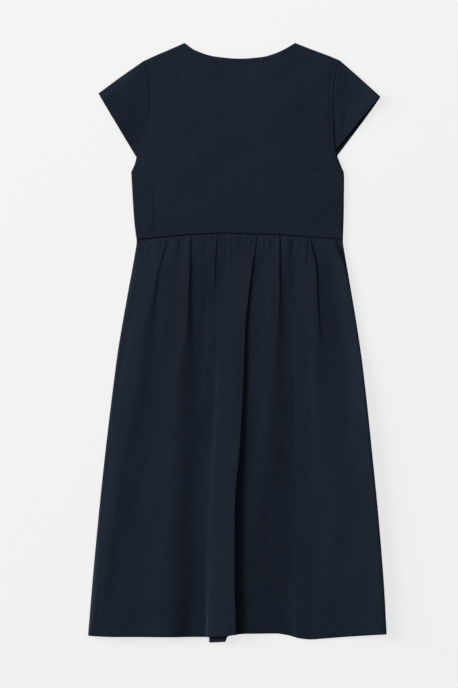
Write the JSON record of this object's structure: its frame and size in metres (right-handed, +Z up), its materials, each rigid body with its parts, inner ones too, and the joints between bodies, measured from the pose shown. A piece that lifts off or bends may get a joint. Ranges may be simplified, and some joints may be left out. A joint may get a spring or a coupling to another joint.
{
  "type": "a-line dress lying flat, with cap sleeves and a gathered skirt",
  "caption": "Dark navy midi dress lying flat, back up: round neckline, cap sleeves, seam at the waist and a gathered A-line skirt with a deep overlapping pleat.",
  "frame": {"origin": "centre of the dress's bounding box in plan, on the surface that its front lies on", "axes": "+Z up, away from the surface, out of the dress's back; +Y from the hem towards the neck; +X to the right of a viewer who looks straight down on the back, with the neck at the top"},
  "size_m": [0.6109, 1.2271, 0.0178],
  "materials": {
    "dress_cloth": "matte"
  },
  "bodies": {
    "root": {"bodice_back": "dress_cloth", "bodice_front": "dress_cloth", "sleeve_left": "dress_cloth", "sleeve_right": "dress_cloth", "skirt_back": "dress_cloth", "skirt_front": "dress_cloth"}
  },
  "joints": []
}
